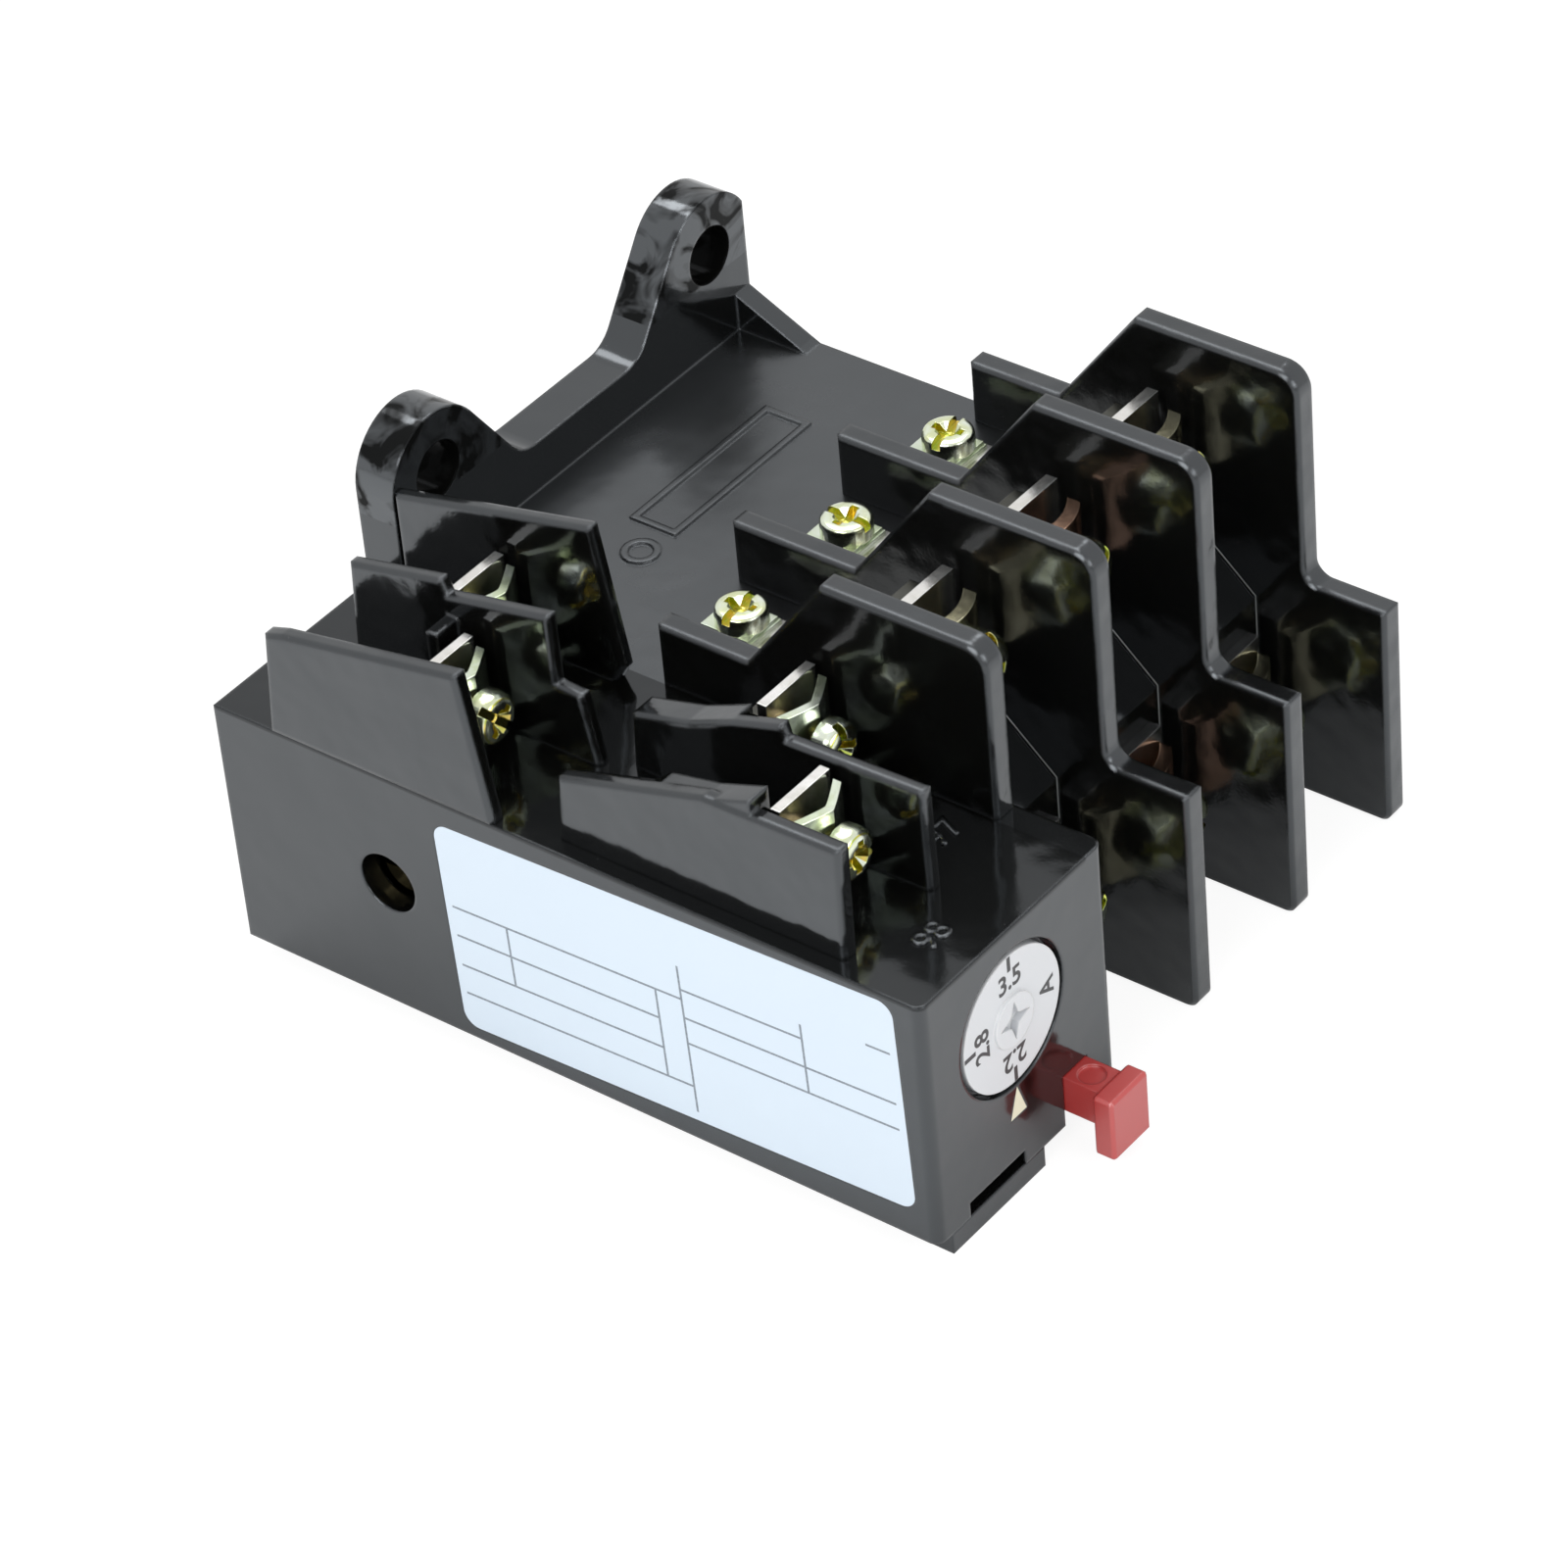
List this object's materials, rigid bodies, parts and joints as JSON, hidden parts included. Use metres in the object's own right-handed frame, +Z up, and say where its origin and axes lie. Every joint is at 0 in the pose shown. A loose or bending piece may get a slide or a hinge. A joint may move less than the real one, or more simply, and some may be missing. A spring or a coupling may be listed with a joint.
{
  "type": "thermal overload relay",
  "caption": "Block-shaped thermal overload relay with mounting ears, stepped barriers between screw terminals, a setting dial, a label field and a push button.",
  "frame": {"origin": "middle of the footprint, on the plane of the underside", "axes": "+X from the mounting plane towards the dial face and the terminals, +Y from the label face across the poles, +Z up from the underside to the ears"},
  "size_m": [0.0842, 0.0732, 0.047],
  "materials": {
    "black_moulding": "moulded phenolic, semi gloss",
    "black_cover": "moulded phenolic, semi gloss",
    "plated_steel": "tin plated, satin",
    "zinc_steel": "zinc plated with a pale green and yellow tint",
    "brass": "plain brass",
    "white_plastic": "plain white",
    "red_plastic": "plain red",
    "cream_paint": "flat cream fill",
    "label_sheet": "pale blue, smooth",
    "bimetal": "rolled strip",
    "inner_plastic": "plain moulding",
    "dark_steel": "plain steel"
  },
  "bodies": {
    "housing": {"main_housing": "black_moulding", "phase_barriers": "black_moulding", "aux_partitions": "black_moulding", "bottom_cover": "black_cover", "cover_screws": "zinc_steel", "rating_label": "label_sheet", "upper_terminals": "plated_steel", "lower_terminals": "plated_steel", "upper_clamp_washers": "brass", "lower_clamp_washers": "brass", "upper_lock_washers": "zinc_steel", "lower_lock_washers": "zinc_steel", "upper_terminal_screws": "zinc_steel", "lower_terminal_screws": "zinc_steel", "upper_nuts": "zinc_steel", "lower_inserts": "brass", "square_washers": "zinc_steel", "deck_screws": "zinc_steel", "bimetal_brackets": "plated_steel", "heater_windings": "dark_steel", "trip_pivot_pin": "dark_steel", "aux_terminal_rear_near": "plated_steel", "aux_terminal_rear_far": "plated_steel", "aux_terminal_front_far": "plated_steel", "aux_terminal_front_near": "plated_steel", "aux_clamp_washers": "zinc_steel", "aux_terminal_screws": "zinc_steel", "aux_nuts": "zinc_steel", "dial_pointer": "cream_paint", "adjusting_pin": "dark_steel"},
    "dial": {"setting_dial": "white_plastic", "setting_cam": "inner_plastic", "dial_friction_washer": "dark_steel", "dial_clip": "dark_steel"},
    "setting_lever": {"adjusting_lever": "dark_steel"},
    "button": {"reset_button": "red_plastic", "reset_spring": "dark_steel"},
    "mode_screw": {"reset_mode_screw": "brass"},
    "strip_1": {"bimetal_1": "bimetal"},
    "strip_2": {"bimetal_2": "bimetal"},
    "strip_3": {"bimetal_3": "bimetal"},
    "bar": {"push_bar": "inner_plastic"},
    "second_bar": {"differential_bar": "inner_plastic"},
    "trip": {"trip_lever": "inner_plastic", "compensating_strip": "bimetal", "moving_contact": "brass"}
  },
  "joints": [
    {"name": "dial_turn", "type": "hinge", "parent": "housing", "child": "dial", "pos_m": [0.03625, -0.0244, 0.0191], "axis": [1, 0, 0], "range_deg": [0, 180]},
    {"name": "setting_lever_tilt", "type": "hinge", "parent": "housing", "child": "setting_lever", "pos_m": [0.02245, -0.0244, 0.0096], "axis": [0, 1, 0], "range_deg": [0, 12.05]},
    {"name": "button_press", "type": "slide", "parent": "housing", "child": "button", "axis": [-1, 0, 0], "range_m": [0, 0.0025], "stiffness_N_per_m": 250, "springref_m": -0.002},
    {"name": "mode_screw_turn", "type": "hinge", "parent": "housing", "child": "mode_screw", "pos_m": [-0.02355, -0.034, 0.0164], "axis": [0, 1, 0], "range_deg": [0, 360]},
    {"name": "bar_push", "type": "slide", "parent": "housing", "child": "bar", "axis": [0, -1, 0], "range_m": [0, 0.0015], "stiffness_N_per_m": 150},
    {"name": "second_bar_push", "type": "slide", "parent": "housing", "child": "second_bar", "axis": [0, -1, 0], "range_m": [0, 0.00136]},
    {"name": "trip_turn", "type": "hinge", "parent": "housing", "child": "trip", "pos_m": [0.00385, -0.0261, 0.0105], "axis": [0, 0, 1], "range_deg": [0, 6.55]},
    {"name": "strip_1_bend", "type": "hinge", "parent": "housing", "child": "strip_1", "pos_m": [-0.00765, -0.0013, 0.025], "axis": [-1, 0, 0], "range_deg": [0, 4.35]},
    {"name": "strip_2_bend", "type": "hinge", "parent": "housing", "child": "strip_2", "pos_m": [-0.00765, 0.0143, 0.025], "axis": [-1, 0, 0], "range_deg": [0, 4.35]},
    {"name": "strip_3_bend", "type": "hinge", "parent": "housing", "child": "strip_3", "pos_m": [-0.00765, 0.0299, 0.025], "axis": [-1, 0, 0], "range_deg": [0, 4.35]}
  ],
  "couplings": [
    {"joint": "setting_lever_tilt", "follows": "dial_turn", "ratio": 0.066667},
    {"joint": "second_bar_push", "follows": "bar_push", "ratio": 0.9},
    {"joint": "trip_turn", "follows": "bar_push", "rad_per_m": 75.63},
    {"joint": "strip_1_bend", "follows": "bar_push", "rad_per_m": 50.27},
    {"joint": "strip_2_bend", "follows": "bar_push", "rad_per_m": 50.27},
    {"joint": "strip_3_bend", "follows": "bar_push", "rad_per_m": 50.27}
  ]
}
